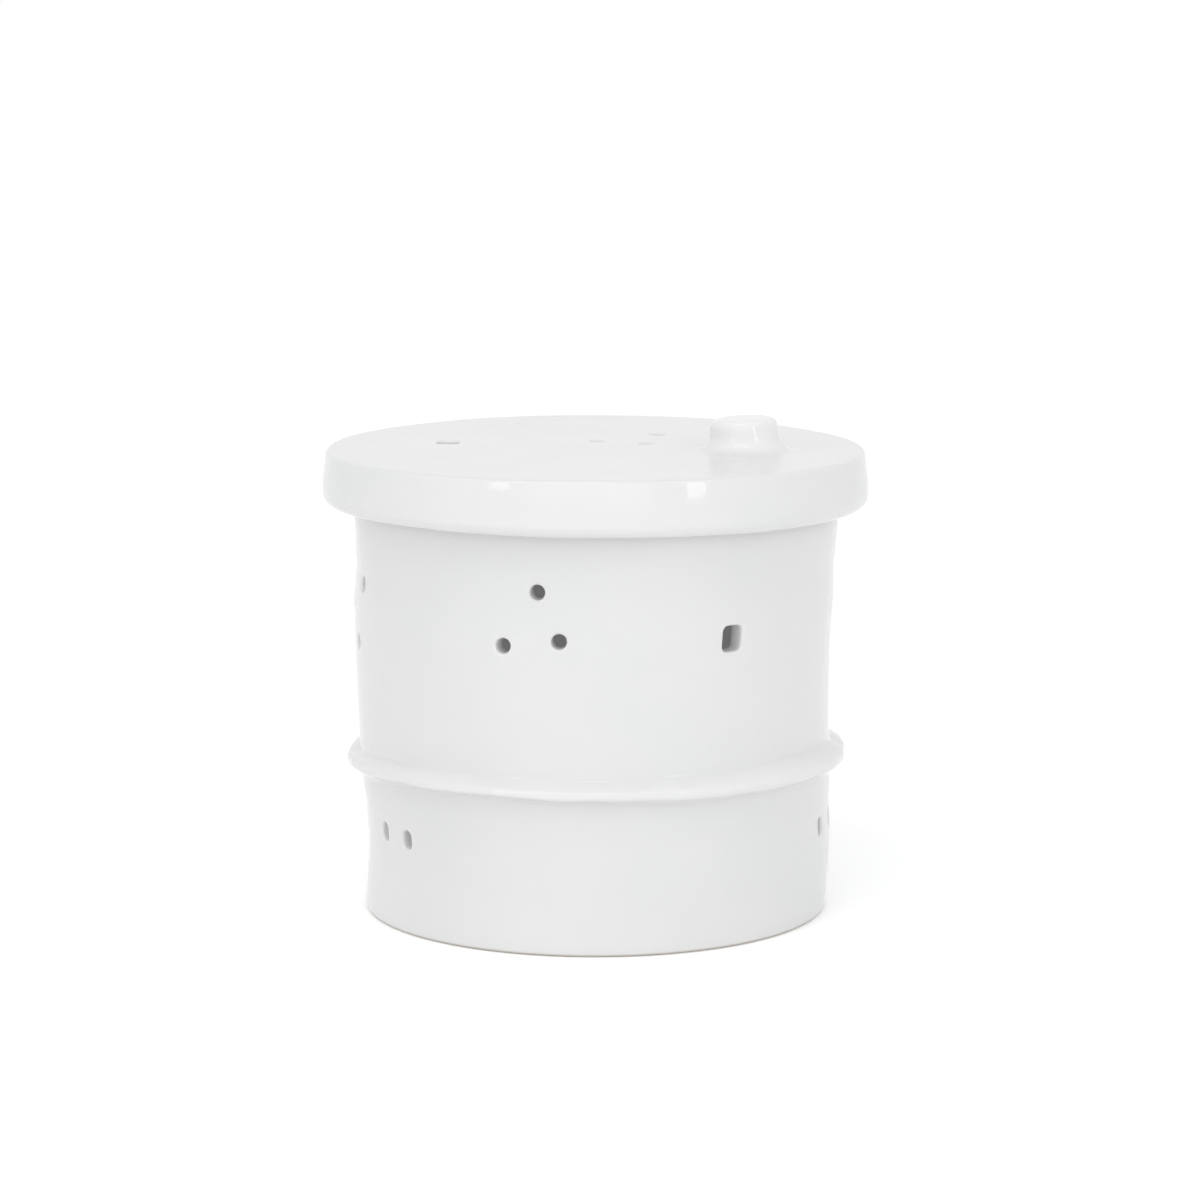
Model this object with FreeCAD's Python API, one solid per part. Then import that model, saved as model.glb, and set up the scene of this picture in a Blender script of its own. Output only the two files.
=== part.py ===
"""Vented ceramic garlic keeper: a round pot and a lift-off cap lid.

Millimetres. The origin is the middle of the foot's resting plane, +Z is up,
-Y is the front and +X is the right-hand side as seen from the front.
Each piece is one fired casting, so each is one solid.
"""
import FreeCAD
import Part
import math
import os

# Pot: a straight lower wall, a step out at the bead, then a slight flare to the rim
POT_RIM_HEIGHT = 114.9
POT_RADIUS = 60.1
WAIST_STEP = 0.7
RIM_FLARE = 1.7
POT_WALL = 5.0
POT_FLOOR = 6.0

# Foot ring, which leaves the middle of the floor clear of the table
FOOT_RING_WIDTH = 6.0
FOOT_RECESS = 1.5
FOOT_RECESS_ROUNDING = 1.2
FOOT_OUTER_ROUNDING = 1.2
FOOT_INNER_ROUNDING = 1.0

# Bead round the pot
BEAD_HEIGHT = 41.8
BEAD_WIDTH = 7.6
BEAD_STAND_OFF = 3.5
BEAD_CREST_WIDTH = 2.6
BEAD_CREST_ROUNDING = 1.7
BEAD_LOWER_FILLET = 1.6
BEAD_UPPER_FILLET = 1.4

# Inside of the pot
FLOOR_FILLET = 9.0
RIM_ROUNDING = 1.5

# Cap lid: it rests on the pot's rim and its skirt hangs round the outside
LID_TOP = 5.0
LID_SKIRT_DROP = 8.8
LID_SKIRT_WALL = 6.1
LID_CLEARANCE = 2.1
LID_TOP_ROUNDING = 1.2
LID_TAPER = 0.7
LID_OUTER_BOTTOM_ROUNDING = 2.9
LID_INNER_BOTTOM_ROUNDING = 1.4
LID_CEILING_FILLET = 1.6

# Knob, set off the lid's middle towards its right-hand edge
KNOB_FROM_EDGE = 32.1
KNOB_FRONT = 3.5
KNOB_HEIGHT = 8.4
KNOB_TOP_RADIUS = 8.2
KNOB_BASE_RADIUS = 9.3
KNOB_TOP_ROUNDING = 2.3
KNOB_FLARE = 2.4

# Vents: sizes of the two kinds of hole and of their soft mouths
ROUND_VENT_RADIUS = 1.95
SQUARE_VENT_WIDTH = 5.8
SQUARE_VENT_HEIGHT = 6.4
SMALL_VENT_WIDTH = 4.0
SMALL_VENT_HEIGHT = 4.8
SQUARE_VENT_CORNER = 1.3
VENT_LIP = 0.7

# Upper vents: groups of three round vents, and square vents. Each stands at a
# turn in degrees from the front towards the right, and at a rise above the
# middle of the free band between the bead and the lid. A group also has a tilt.
TRIANGLE_VENTS = ((0.8, 8.4), (-7.3, -5.3), (6.7, -3.7))
TRIANGLES = ((-14.1, 7.8, 0), (-78.1, 4.2, -164), (113.0, 6.1, 75), (-141.0, 6.6, 150))
SQUARES = ((33.9, 3.2), (160.0, 4.6))

# Lower vents: pairs of small square vents. The turn is to a pair's middle, and
# the rise is above the middle of the free band between the floor and the bead.
PAIR_RISE = 1.7
PAIR_SPACING = 11.6
PAIR_TURNS = (-59.4, 76.7, 187.0)

# Vents of the lid's top, as distances from its middle to the right and back
LID_ROUND_VENTS = ((0.4, 13.5), (13.1, 8.8), (16.4, 27.5))
LID_SQUARE_VENTS = ((-38.4, 11.0),)

CUT_MARGIN = 2.0
LARGEST_SHARE = 0.98
FULL_TURN = 360.0
ORIGIN = FreeCAD.Vector(0, 0, 0)
RIGHT = FreeCAD.Vector(1, 0, 0)
FRONT = FreeCAD.Vector(0, -1, 0)
UP = FreeCAD.Vector(0, 0, 1)

# Sizes that follow from the ones above
WAIST_RADIUS = POT_RADIUS + WAIST_STEP
RIM_RADIUS = WAIST_RADIUS + RIM_FLARE
FLOOR_TOP = FOOT_RECESS + POT_FLOOR
BEAD_LOW = BEAD_HEIGHT - BEAD_WIDTH / 2
BEAD_HIGH = BEAD_HEIGHT + BEAD_WIDTH / 2
LID_TOP_HEIGHT = POT_RIM_HEIGHT + LID_TOP
SKIRT_BOTTOM = POT_RIM_HEIGHT - LID_SKIRT_DROP
UPPER_BAND_MIDDLE = (BEAD_HIGH + SKIRT_BOTTOM) / 2
LOWER_BAND_MIDDLE = (FLOOR_TOP + BEAD_LOW) / 2


def point(radius, height):
    """A point of an outline in the upright plane through the axis."""
    return FreeCAD.Vector(radius, 0, height)


def side_room(side, neighbour):
    """Length of a side that the rounding of one of its corners may use."""
    users = 2 if neighbour[2] > 0 else 1
    return LARGEST_SHARE * side.Length / users


def rounded_outline(corners):
    """Close corners (radius, height, rounding) into a wire of lines and tangent arcs.

    A rounding is limited by the two sides that it joins.
    """
    places = [point(radius, height) for radius, height, _ in corners]
    count = len(places)
    arcs = []
    for index, (_, _, rounding) in enumerate(corners):
        here = places[index]
        after = (index + 1) % count
        back = places[index - 1] - here
        ahead = places[after] - here
        room = min(side_room(back, corners[index - 1]), side_room(ahead, corners[after]))
        half_angle = back.getAngle(ahead) / 2
        reach = min(rounding / math.tan(half_angle), room)
        rounding = reach * math.tan(half_angle)
        back.normalize()
        ahead.normalize()
        inward = (back + ahead).normalize()
        depth = rounding / math.sin(half_angle) - rounding
        arcs.append((here + back * reach, here + inward * depth, here + ahead * reach))
    edges = []
    for index, (start, middle, end) in enumerate(arcs):
        if corners[index][2] > 0:
            edges.append(Part.Arc(start, middle, end).toShape())
        following = arcs[(index + 1) % count][0]
        edges.append(Part.LineSegment(end, following).toShape())
    return Part.Wire(edges)


def turned(corners):
    """A solid of revolution about the upright axis from an outline's corners."""
    return Part.Face(rounded_outline(corners)).revolve(ORIGIN, UP, FULL_TURN)


def wall_radius(height):
    """Radius of the pot's outer wall at a height, with the bead left out."""
    if height < BEAD_HEIGHT:
        return POT_RADIUS
    share = (height - BEAD_HIGH) / (POT_RIM_HEIGHT - BEAD_HIGH)
    return WAIST_RADIUS + share * RIM_FLARE


def round_mouth(radius, depth):
    """Cutter for a round vent along +Z: its soft mouth lies at z = 0, the bore below."""
    outline = [
        point(0, -depth),
        point(radius, -depth),
        point(radius, -VENT_LIP),
        point(radius + VENT_LIP, 0),
        point(radius + VENT_LIP, CUT_MARGIN),
        point(0, CUT_MARGIN),
    ]
    bend = point(
        radius + VENT_LIP * (1 - math.cos(math.pi / 4)),
        -VENT_LIP * (1 - math.sin(math.pi / 4)),
    )
    edges = [
        Part.LineSegment(outline[0], outline[1]).toShape(),
        Part.LineSegment(outline[1], outline[2]).toShape(),
        Part.Arc(outline[2], bend, outline[3]).toShape(),
        Part.LineSegment(outline[3], outline[4]).toShape(),
        Part.LineSegment(outline[4], outline[5]).toShape(),
        Part.LineSegment(outline[5], outline[0]).toShape(),
    ]
    return Part.Face(Part.Wire(edges)).revolve(ORIGIN, UP, FULL_TURN)


def rounded_rectangle(width, height, corner, level):
    """A flat rectangle with round corners, its middle on the Z axis at a level."""
    half_width = width / 2
    half_height = height / 2
    corner = min(corner, LARGEST_SHARE * half_width, LARGEST_SHARE * half_height)
    flat_width = half_width - corner
    flat_height = half_height - corner
    edges = []
    for turn, along, across in (
        (0, flat_width, flat_height),
        (90, flat_height, flat_width),
        (180, flat_width, flat_height),
        (270, flat_height, flat_width),
    ):
        side = FreeCAD.Rotation(UP, turn)
        reach = along + corner
        arc_points = [
            FreeCAD.Vector(
                along + corner * math.cos(math.radians(angle)),
                across + corner * math.sin(math.radians(angle)),
                level,
            )
            for angle in (0, 45, 90)
        ]
        line_points = [
            FreeCAD.Vector(reach, -across, level),
            FreeCAD.Vector(reach, across, level),
        ]
        arc_points = [side.multVec(place) for place in arc_points]
        line_points = [side.multVec(place) for place in line_points]
        edges.append(Part.LineSegment(*line_points).toShape())
        edges.append(Part.Arc(*arc_points).toShape())
    return Part.Wire(edges)


def square_mouth(width, height, depth):
    """Cutter for a square vent along +Z: its soft mouth lies at z = 0, the bore below."""
    bore = Part.Face(rounded_rectangle(width, height, SQUARE_VENT_CORNER, -depth))
    bore = bore.extrude(UP * depth)
    narrow = rounded_rectangle(width, height, SQUARE_VENT_CORNER, -VENT_LIP)
    wide = rounded_rectangle(
        width + 2 * VENT_LIP, height + 2 * VENT_LIP, SQUARE_VENT_CORNER + VENT_LIP, 0
    )
    lip = Part.makeLoft([narrow, wide], True, True)
    return bore.fuse(lip).fuse(Part.Face(wide).extrude(UP * CUT_MARGIN))


def through_wall(cutter, turn, height):
    """A cutter in the pot's wall at a turn from the front, pointing out from the axis."""
    around = FreeCAD.Rotation(UP, turn)
    quarter = FreeCAD.Rotation(RIGHT, 90)
    place = around.multVec(FRONT) * wall_radius(height) + UP * height
    placed = cutter.copy()
    placed.Placement = FreeCAD.Placement(place, around.multiply(quarter))
    return placed


def triangle_cutters():
    """Three round vents for each group of the upper wall."""
    cutters = []
    bore = round_mouth(ROUND_VENT_RADIUS, POT_WALL + CUT_MARGIN)
    for turn, rise, tilt in TRIANGLES:
        tilted = FreeCAD.Rotation(UP, tilt)
        for sideways, upward in TRIANGLE_VENTS:
            offset = tilted.multVec(FreeCAD.Vector(sideways, upward, 0))
            height = UPPER_BAND_MIDDLE + rise + offset.y
            swing = math.degrees(offset.x / wall_radius(height))
            cutters.append(through_wall(bore, turn + swing, height))
    return cutters


def square_cutters():
    """The larger square vents of the upper wall."""
    bore = square_mouth(SQUARE_VENT_WIDTH, SQUARE_VENT_HEIGHT, POT_WALL + CUT_MARGIN)
    return [through_wall(bore, turn, UPPER_BAND_MIDDLE + rise) for turn, rise in SQUARES]


def pair_cutters():
    """Two small square vents for each pair of the lower wall."""
    bore = square_mouth(SMALL_VENT_WIDTH, SMALL_VENT_HEIGHT, POT_WALL + CUT_MARGIN)
    height = LOWER_BAND_MIDDLE + PAIR_RISE
    swing = math.degrees(PAIR_SPACING / 2 / wall_radius(height))
    cutters = []
    for turn in PAIR_TURNS:
        for side in (-swing, swing):
            cutters.append(through_wall(bore, turn + side, height))
    return cutters


def pot():
    """The pot: foot ring, floor, beaded wall and vents, in one piece."""
    ring_inner = POT_RADIUS - FOOT_RING_WIDTH
    crest_radius = WAIST_RADIUS + BEAD_STAND_OFF
    crest_low = BEAD_HEIGHT - BEAD_CREST_WIDTH / 2
    crest_high = BEAD_HEIGHT + BEAD_CREST_WIDTH / 2
    corners = [
        (0, FOOT_RECESS, 0),
        (ring_inner - FOOT_RECESS, FOOT_RECESS, FOOT_RECESS_ROUNDING),
        (ring_inner, 0, FOOT_INNER_ROUNDING),
        (POT_RADIUS, 0, FOOT_OUTER_ROUNDING),
        (POT_RADIUS, BEAD_LOW, BEAD_LOWER_FILLET),
        (crest_radius, crest_low, BEAD_CREST_ROUNDING),
        (crest_radius, crest_high, BEAD_CREST_ROUNDING),
        (WAIST_RADIUS, BEAD_HIGH, BEAD_UPPER_FILLET),
        (RIM_RADIUS, POT_RIM_HEIGHT, RIM_ROUNDING),
        (RIM_RADIUS - POT_WALL, POT_RIM_HEIGHT, RIM_ROUNDING),
        (POT_RADIUS - POT_WALL, FLOOR_TOP, FLOOR_FILLET),
        (0, FLOOR_TOP, 0),
    ]
    body = turned(corners)
    return body.cut(triangle_cutters() + square_cutters() + pair_cutters())


def skirt_radius():
    """Inner radius of the lid's skirt, clear of the widest wall that it covers."""
    return max(RIM_RADIUS, wall_radius(SKIRT_BOTTOM)) + LID_CLEARANCE


def knob():
    """The knob with its flared foot, in place on the lid's top."""
    foot_radius = KNOB_BASE_RADIUS + KNOB_FLARE
    sunk = -LID_TOP / 2
    corners = [
        (0, sunk, 0),
        (foot_radius, sunk, 0),
        (foot_radius, 0, 0),
        (KNOB_BASE_RADIUS, 0, KNOB_FLARE),
        (KNOB_TOP_RADIUS, KNOB_HEIGHT, KNOB_TOP_ROUNDING),
        (0, KNOB_HEIGHT, 0),
    ]
    right = skirt_radius() + LID_SKIRT_WALL - KNOB_FROM_EDGE
    body = turned(corners)
    body.translate(FreeCAD.Vector(right, -KNOB_FRONT, LID_TOP_HEIGHT))
    return body


def lid_cutters():
    """The vents of the lid's top."""
    depth = LID_TOP + CUT_MARGIN
    round_bore = round_mouth(ROUND_VENT_RADIUS, depth)
    square_bore = square_mouth(SQUARE_VENT_WIDTH, SQUARE_VENT_HEIGHT, depth)
    cutters = []
    for bore, places in ((round_bore, LID_ROUND_VENTS), (square_bore, LID_SQUARE_VENTS)):
        for right, back in places:
            cutter = bore.copy()
            cutter.translate(FreeCAD.Vector(right, back, LID_TOP_HEIGHT))
            cutters.append(cutter)
    return cutters


def lid():
    """The cap lid: top, skirt, knob and vents, in one piece."""
    inner = skirt_radius()
    outer = inner + LID_SKIRT_WALL
    corners = [
        (0, POT_RIM_HEIGHT, 0),
        (inner, POT_RIM_HEIGHT, LID_CEILING_FILLET),
        (inner, SKIRT_BOTTOM, LID_INNER_BOTTOM_ROUNDING),
        (outer, SKIRT_BOTTOM, LID_OUTER_BOTTOM_ROUNDING),
        (outer - LID_TAPER, LID_TOP_HEIGHT, LID_TOP_ROUNDING),
        (0, LID_TOP_HEIGHT, 0),
    ]
    body = turned(corners).fuse(knob()).removeSplitter()
    return body.cut(lid_cutters())


def main():
    """Write each piece as a solid of its own and print its size."""
    os.makedirs("parts", exist_ok=True)
    for name, make in (("pot", pot), ("lid", lid)):
        shape = make()
        solids = shape.Solids
        box = shape.BoundBox
        print(name, "solids", len(solids), "valid", shape.isValid(), "volume", round(shape.Volume))
        print("  box", [round(value, 2) for value in (box.XLength, box.YLength, box.ZMin, box.ZMax)])
        solids[0].exportStep("parts/" + name + ".step")


main()
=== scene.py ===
"""Looks of the vented garlic keeper: hand-formed white glazed pot and cap lid."""
import math

import bmesh
import bpy
import numpy as np
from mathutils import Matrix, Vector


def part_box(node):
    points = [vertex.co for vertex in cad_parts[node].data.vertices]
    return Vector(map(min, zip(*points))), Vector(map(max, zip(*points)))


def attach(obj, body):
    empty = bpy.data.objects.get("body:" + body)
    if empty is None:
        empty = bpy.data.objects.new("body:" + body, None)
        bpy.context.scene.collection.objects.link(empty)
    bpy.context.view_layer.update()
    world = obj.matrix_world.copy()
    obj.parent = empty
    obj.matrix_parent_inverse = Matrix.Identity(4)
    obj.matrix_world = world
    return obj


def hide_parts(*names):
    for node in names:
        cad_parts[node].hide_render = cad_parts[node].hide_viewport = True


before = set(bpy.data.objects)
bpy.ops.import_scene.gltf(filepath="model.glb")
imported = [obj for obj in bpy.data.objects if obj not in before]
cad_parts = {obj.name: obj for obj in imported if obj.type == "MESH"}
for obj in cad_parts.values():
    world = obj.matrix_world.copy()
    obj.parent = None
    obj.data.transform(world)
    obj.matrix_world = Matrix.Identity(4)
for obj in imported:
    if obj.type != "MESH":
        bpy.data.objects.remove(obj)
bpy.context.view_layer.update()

# Lengths below are in millimetres, and meshes are scaled to metres at the end
MM = 0.001
RIM_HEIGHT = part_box("pot")[1][2] / MM
KNOB_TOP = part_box("lid")[1][2] / MM
LID_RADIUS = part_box("lid")[1][0] / MM

# Pot: wall, floor, foot ring and rim
POT_RADIUS = 60.1
WAIST_RADIUS = 60.8
RIM_RADIUS = 62.5
POT_WALL = 5.0
FLOOR_TOP = 7.5
FLOOR_FILLET = 9.0
FOOT_RECESS = 1.5
FOOT_RING_WIDTH = 6.0
FOOT_ROUNDING = 1.2
# Bare clay at the foot reaches this high, so that its darker colour also paints the shade of the
# contact line
FOOT_CLAY_AND_SHADE_HEIGHT = 0.8
BARE_RIM_DEPTH = 0.1
RIM_ROUNDING = 1.5
FLOOR_DISC = 42.0

# Bead: its plain form, whose corners are rounded off, and the heights between which the
# wall follows its waves
BEAD_LOW = 38.6
BEAD_CREST = 41.6
BEAD_HIGH = 45.4
BEAD_STAND_OFF = 3.4
BEAD_CREST_WIDTH = 2.0
BEAD_LOWER_CORNER = 0.7
BEAD_UPPER_CORNER = 0.6
BEAD_LOWER_ROUNDING = 1.2
BEAD_UPPER_ROUNDING = 1.7
BEAD_FILLET = 1.5
BEAD_REACH = (29.5, 57.0)

# Painted light: a whiter colour on the bead and the knob that stands in for the light falling on
# them. How much of it the bead has and how far out it starts there, and the height over which it
# comes in up the knob
BEAD_PAINTED_LIGHT = 0.4
BEAD_PAINTED_LIGHT_START = 1.0
KNOB_PAINTED_LIGHT_RUN = 2

# The bead's form at turns in degrees from the front: heights of its lower corner, crest
# and upper corner, and its stand-off
BEAD_FORMS = (
    (-88, 35.4, 39.6, 41.0, 3.2),
    (-62, 37.9, 41.0, 43.8, 3.2),
    (-51, 38.8, 41.4, 44.4, 3.3),
    (-42, 39.1, 41.6, 44.9, 3.4),
    (-30, 39.7, 41.8, 45.1, 3.4),
    (-20, 39.7, 42.0, 45.2, 3.4),
    (-10, 39.4, 41.9, 45.0, 3.4),
    (0, 39.2, 42.0, 45.0, 3.5),
    (12, 38.9, 42.0, 45.6, 3.4),
    (25, 38.2, 41.7, 45.2, 3.3),
    (39, 38.3, 41.7, 45.6, 3.4),
    (51, 38.3, 41.6, 46.0, 3.5),
    (63, 37.9, 41.6, 46.2, 3.6),
    (88, 36.0, 41.6, 44.3, 3.6),
    (140, 37.6, 41.7, 45.8, 3.5),
    (180, 38.3, 41.6, 45.2, 3.4),
    (220, 37.6, 41.2, 44.8, 3.3),
)

# Lid: cap over the rim
LID_TOP = 5.0
LID_TAPER = 1.05
LID_SHOULDER = 8.5
LID_CLEARANCE = 2.1
LID_DISC = 60.0
LID_TOP_ROUNDING = 1.1
LID_SHOULDER_ROUNDING = 24.0
LID_CEILING_FILLET = 1.6
SKIRT_BOTTOM = 106.1
SKIRT_OUTER_ROUNDING = 2.9
SKIRT_INNER_ROUNDING = 1.4

# Knob
KNOB_PLACE = (38.6, -3.5)
KNOB_TOP_RADIUS = 8.4
KNOB_BASE_RADIUS = 9.2
KNOB_FLARE = 5.0
KNOB_FILLET = 0.9 * KNOB_FLARE
KNOB_TOP_ROUNDING = 2.0
KNOB_TIP_RADIUS = 2.0

# Vents: (width, height, corner) and the soft lip at both ends of each bore
ROUND_VENT = (3.9, 3.9, 1.95)
SQUARE_VENT = (5.6, 6.6, 1.5)
SMALL_VENT = (3.7, 4.6, 1.6)
OUTER_LIP = 0.75
INNER_LIP = 0.4

# Fineness: columns round the axis, the height of a row of the wall, and the steps and the
# margin round each vent
COLUMNS = 360
SIDE = COLUMNS // 4
ROW = 1.7
LIP_STEPS = 5
PATCH_RINGS = 3
PATCH_EASE = 1.5
BORE_STEPS = 3
VENT_MARGIN = 2.4

# How thin the glaze is where a mouth starts to bend. Half way round the bend it is thinnest.
MOUTH_THIN = 0.5

# Hand-made unevenness of the pot: pairs of height and sideways shift of the axis, pairs of
# height and growth of the radius, and how far the wall is oval and lobed
SWAY = (
    (0, 0),
    (4, 0.3),
    (14, 1.0),
    (18, 1.1),
    (24, 0.8),
    (36, 0.2),
    (50, -0.5),
    (60, -0.85),
    (70, -0.85),
    (75, -0.75),
    (88, -0.15),
    (100, 0.3),
    (RIM_HEIGHT, 0.2),
)
SWELL = (
    (0, 0),
    (12, 0.05),
    (22, 0.26),
    (28.5, 0.37),
    (31, 0.64),
    (34, 0.83),
    (38, 0.8),
    (46, 0.35),
    (70, 0.31),
    (80, 0.45),
    (85, 0.26),
    (90, -0.1),
    (95, 0.08),
    (101, 0.27),
    (107, 0.25),
    (RIM_HEIGHT, 0),
)
OVAL = 0.22
LOBES = 0.16
LOBE_TWIST = 21

# Lean of the lid and the rim as (slope, bend) towards the back and the right. The pot's wall
# takes it up over a run of height.
LEAN_BACK = (-0.8, 0.4)
LEAN_RIGHT = (-0.12, -0.12)
LEAN_START = 96
LEAN_RUN = 10

# Waves round the axis as (amount, count, phase), and the amounts of the other unevenness of
# the bead, the lid's edge, the skirt's hem and the lid's top
BEAD_EDGE_WAVES = ((0.10, 13, 0.5), (0.07, 29, 2.0))
BEAD_LUMPS = 0.12
BEAD_FINE_LUMPS = 0.06
LID_EDGE_WAVES = ((0.08, 2, 2.1), (0.04, 5, 0.0))
LID_EDGE_GROWTH = -0.12
HEM_WAVES = ((0.05, 7, 0.0), (0.03, 16, 1.0))
HEM_RAISE = 0.06
HEM_FRONT = 0.4
HEM_LEFT = 0.52
HEM_FRONT_BACK = 0.24
LID_TOP_SWELL = 0.06
LID_TOP_DROP = 0.05

# Hand marks of the knob: its lean to the left, a dent at a place right of and behind its
# middle, lumps round it, and the tilt and droop of its top
KNOB_LEAN = 0.7
DENT_PLACE = (6.5, -6.0)
DENT_REACH = (3.0, 3.5)
DENT_RISE = 0.75
DENT_RISE_REACH = 0.28
DENT_DEPTH = (0.5, 0.6)
KNOB_LUMP = 0.25
KNOB_TILT = 0.04
KNOB_DROOP = 0.006

# Bead table: its step in degrees and the weights that soften its corners
TABLE_STEP = 2.0
TABLE_SOFTENING = (1, 2, 3, 2, 1)

# Glaze colours. Each tint gives pale and deep clouds, thin glaze, a whiter colour that paints
# light on the bead and the knob, and bare clay, which at the foot also paints the contact shade.
PAINTED_LIGHT_WHITE = (0.86, 0.86, 0.85)
THIN_GLAZE = (0.80, 0.80, 0.79)
BARE_CLAY = (0.60, 0.57, 0.52)
POT_TINT = ((0.788, 0.785, 0.778), (0.762, 0.765, 0.76), THIN_GLAZE, PAINTED_LIGHT_WHITE, BARE_CLAY)
LID_TINT = ((0.795, 0.793, 0.786), (0.768, 0.772, 0.767), THIN_GLAZE, PAINTED_LIGHT_WHITE, BARE_CLAY)
THIN_GLAZE_SHOWS = 0.7
# Painted glow: white light given off by the pot's inside faces and the vent bores, though they are
# no lamp
PAINTED_INSIDE_GLOW = 0.05

# Glaze noises as (scale, detail), and the ranges over which the glaze changes
CLOUD_NOISE = (22.0, 3.0)
CLOUD_RANGE = (0.35, 0.65)
GLOSS_NOISE = (90.0, 2.0)
GLOSS_RANGE = (0.3, 0.7)
THIN_RANGE = (0.3, 1.0)
LEVEL_RANGE = (0.94, 0.995)

# Glaze surface, with its bumps as (scale, detail, strength, depth in metres)
GLAZE_IOR = 1.38
GLOSS_ROUGHNESS = (0.03, 0.08)
LEVEL_DULLNESS = 0.16
CLAY_ROUGHNESS = 0.75
RIPPLE = (45.0, 1.5, 0.35, 0.0004)
PEEL = (700.0, 2.0, 0.12, 0.00005)

# Studio: surround and floor, in metres
WHITE = (1.0, 1.0, 1.0, 1.0)
SURROUND_COLOUR = (0.985, 0.99, 1.0, 1.0)
SURROUND_STRENGTH = 0.76
FLOOR_HALF = 1.6
FLOOR_COLOUR = (0.97, 0.97, 0.97, 1.0)
FLOOR_ROUGHNESS = 0.6
FLOOR_LIFT = 0.2

# Lamps as (name, turn and rise in degrees, distance and size in metres, power in watts)
LAMPS = (
    ("left_lamp", -40.0, 24.0, 1.7, (0.25, 1.0), 2.2),
    ("middle_lamp", -1.0, 12.0, 1.7, (1.5, 0.30), 0.9),
    ("right_lamp", 42.5, 22.5, 1.7, (0.25, 1.0), 2.9),
    ("high_fill", -20.0, 60.0, 1.8, (1.0, 0.9), 4.9),
)
LAMP_AIM_HEIGHT = 0.06
GLOW_SIZE = (1.0, 0.62)
GLOW_POWER = 0.3
GLOW_PLACE = (0.0, -0.58, 0.003)

# Camera: place in metres, pitch below level in degrees, lens and sensor in millimetres
CAMERA_PLACE = (0.0012, -1.1123, 0.2710)
CAMERA_PITCH = 9.744
CAMERA_LENS = 130.66
CAMERA_SENSOR = 36.0


def column_turn(column):
    """Turn of a column, in radians from the front towards the right."""
    return math.radians(45.0) + column * math.tau / COLUMNS


class Skin:
    """Places, glaze marks, painted light and faces of one closed skin, in millimetres."""

    def __init__(self):
        self.places = []
        self.thin = []
        self.bare = []
        self.hidden = []
        self.thick = []
        self.faces = []

    def add(self, place, thin=0.0, bare=0.0, hidden=0.0, thick=0.0):
        """Add a vertex and return its index."""
        self.places.append(place)
        self.thin.append(thin)
        self.bare.append(bare)
        self.hidden.append(hidden)
        self.thick.append(thick)
        return len(self.places) - 1

    def ring(self, radius, height, bare=0.0, hidden=0.0, thick=0.0):
        """A full ring of vertices about the axis."""
        turns = [column_turn(column) for column in range(COLUMNS)]
        return [
            self.add(
                (radius * math.sin(turn), -radius * math.cos(turn), height),
                bare=bare,
                hidden=hidden,
                thick=thick,
            )
            for turn in turns
        ]

    def bridge(self, first, second, left_out=()):
        """Faces between two closed loops of the same length."""
        count = len(first)
        for index in range(count):
            if index in left_out:
                continue
            after = (index + 1) % count
            self.faces.append((first[index], first[after], second[after], second[index]))

    def fan(self, loop, tip):
        """Faces from a closed loop to one vertex."""
        count = len(loop)
        for index in range(count):
            self.faces.append((loop[index], loop[(index + 1) % count], tip))


def rounded_path(corners):
    """Points of an open path through corners (radius, height, rounding, arc steps).

    Steep sides are divided at whole rows of height, so that the wall's two faces match.
    """
    arcs = [[corners[0][:2]]]
    for before, corner, after in zip(corners, corners[1:], corners[2:]):
        here = np.array(corner[:2])
        back = np.array(before[:2]) - here
        ahead = np.array(after[:2]) - here
        back /= np.linalg.norm(back)
        ahead /= np.linalg.norm(ahead)
        half = math.acos(np.clip(back @ ahead, -1, 1)) / 2
        reach = corner[2] / math.tan(half)
        inward = (back + ahead) / np.linalg.norm(back + ahead)
        centre = here + inward * corner[2] / math.sin(half)
        start = here + back * reach - centre
        end = here + ahead * reach - centre
        sweep = math.pi - 2 * half
        points = []
        for step in range(corner[3] + 1):
            share = step / corner[3]
            spoke = math.sin((1 - share) * sweep) * start + math.sin(share * sweep) * end
            points.append(tuple(centre + spoke / math.sin(sweep)))
        arcs.append(points)
    arcs.append([corners[-1][:2]])
    path = []
    for arc, following in zip(arcs, arcs[1:]):
        path += arc
        path += side_points(arc[-1], following[0])
    return path + arcs[-1]


def side_points(start, end):
    """Points that divide a straight side, without its ends."""
    (radius, height), (end_radius, end_height) = start, end
    rise = end_height - height
    run = end_radius - radius
    if abs(rise) > abs(run):
        low, high = sorted((height, end_height))
        first = math.ceil((low + ROW / 3) / ROW)
        last = math.floor((high - ROW / 3) / ROW)
        levels = [row * ROW for row in range(first, last + 1)]
        if rise < 0:
            levels.reverse()
        return [(radius + run * (level - height) / rise, level) for level in levels]
    count = max(1, round(abs(run) / ROW))
    return [
        (radius + run * step / count, height + rise * step / count) for step in range(1, count)
    ]


def disc_spread():
    """Places of the lines of a disc's grid across a disc of radius 1."""
    angles = [math.radians(-45 + 90 * step / SIDE) for step in range(SIDE + 1)]
    return [math.sqrt(2) * math.sin(angle) for angle in angles]


def disc_edge(row, column):
    """Column of the ring that a node on the edge of a disc's grid is, or None inside."""
    if column == SIDE:
        return row
    if row == SIDE:
        return SIDE + (SIDE - column)
    if column == 0:
        return 2 * SIDE + (SIDE - row)
    if row == 0:
        return 3 * SIDE + column
    return None


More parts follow.
